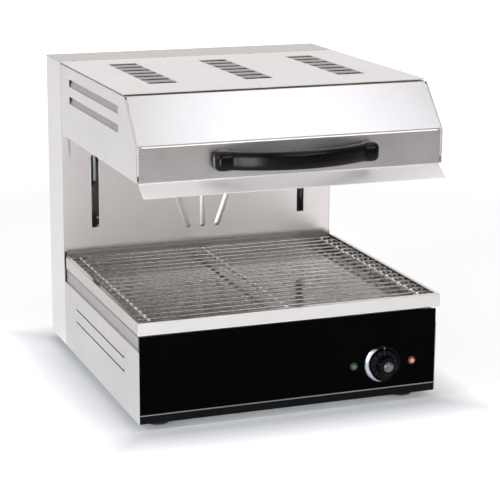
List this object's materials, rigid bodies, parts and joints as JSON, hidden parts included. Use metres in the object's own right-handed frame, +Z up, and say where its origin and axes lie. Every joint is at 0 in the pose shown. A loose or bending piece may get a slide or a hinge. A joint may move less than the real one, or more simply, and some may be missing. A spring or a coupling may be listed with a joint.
{
  "type": "electric cheese melter",
  "caption": "Counter-top electric cheese melter: a vented heating hood rides up and down a rear column above a sliding drip tray with a lift-out wire rack.",
  "frame": {"origin": "middle of the whole footprint, handle to cable gland and rim to rim, on the surface that the feet stand on", "axes": "+Z up, -Y out of the front panel, +X to the viewer's right when facing the front"},
  "size_m": [0.454, 0.551, 0.461],
  "materials": {
    "shell_steel": "satin",
    "panel_steel": "satin",
    "polished_steel": "polished",
    "bright_wire": "polished",
    "zinc_steel": "satin",
    "black_glass": "gloss",
    "black_paint": "satin",
    "handle_black": "gloss",
    "knob_black": "gloss",
    "chrome_trim": "polished",
    "black_rubber": "matte",
    "black_nylon": "satin",
    "ceramic_wool": "matte",
    "element_sheath": "satin",
    "bronze": "satin",
    "lens_green": "gloss",
    "lens_orange": "gloss",
    "block_plastic": "matte"
  },
  "bodies": {
    "body": {"base_floor": "zinc_steel", "base_side_left": "shell_steel", "base_side_right": "shell_steel", "front_carrier": "zinc_steel", "front_glass": "black_glass", "front_trim": "polished_steel", "kick_plate": "black_paint", "base_deck": "panel_steel", "foot_front_left": "black_rubber", "foot_front_right": "black_rubber", "foot_rear_left": "black_rubber", "foot_rear_right": "black_rubber", "foot_nuts": "zinc_steel", "column_side_left": "shell_steel", "column_side_right": "shell_steel", "column_top": "shell_steel", "back_panel": "panel_steel", "rear_cover": "shell_steel", "rear_cover_screws": "zinc_steel", "rod_bracket_lower": "zinc_steel", "rod_bracket_upper": "zinc_steel", "guide_rod_left": "bright_wire", "guide_rod_right": "bright_wire", "stop_buffers": "black_rubber", "gas_cylinder_left": "black_paint", "gas_cylinder_right": "black_paint", "thermostat": "zinc_steel", "knob_bezel": "chrome_trim", "lamp_lens_green": "lens_green", "lamp_lens_orange": "lens_orange", "lamp_holders": "black_nylon", "terminal_block": "block_plastic", "cable_gland": "black_nylon"},
    "hood": {"hood_top": "shell_steel", "hood_front": "shell_steel", "hood_lip": "shell_steel", "hood_side_left": "shell_steel", "hood_side_right": "shell_steel", "hood_rear_wall": "panel_steel", "heat_reflector": "polished_steel", "insulation_blanket": "ceramic_wool", "heat_shield": "zinc_steel", "element_left": "element_sheath", "element_right": "element_sheath", "element_support_front": "zinc_steel", "element_support_rear": "zinc_steel", "handle": "handle_black", "handle_screws": "zinc_steel", "hood_arm_left": "zinc_steel", "hood_arm_right": "zinc_steel", "arm_bolts": "zinc_steel", "carriage": "zinc_steel", "guide_bushings": "bronze", "gas_rod_left": "bright_wire", "gas_rod_right": "bright_wire"},
    "tray": {"drip_tray": "panel_steel"},
    "rack": {"wire_rack": "bright_wire"},
    "knob": {"knob": "knob_black", "knob_cap": "chrome_trim", "thermostat_shaft": "bright_wire"}
  },
  "joints": [
    {"name": "hood_travel", "type": "slide", "parent": "body", "child": "hood", "axis": [0, 0, 1], "range_m": [-0.13, 0]},
    {"name": "tray_slide", "type": "slide", "parent": "body", "child": "tray", "axis": [0, -1, 0], "range_m": [0, 0.25]},
    {"name": "rack_lift", "type": "slide", "parent": "tray", "child": "rack", "axis": [0, 0, 1], "range_m": [0, 0.04]},
    {"name": "knob_turn", "type": "hinge", "parent": "body", "child": "knob", "pos_m": [0.141, -0.2295, 0.061], "axis": [0, 1, 0], "range_deg": [0, 270]}
  ]
}
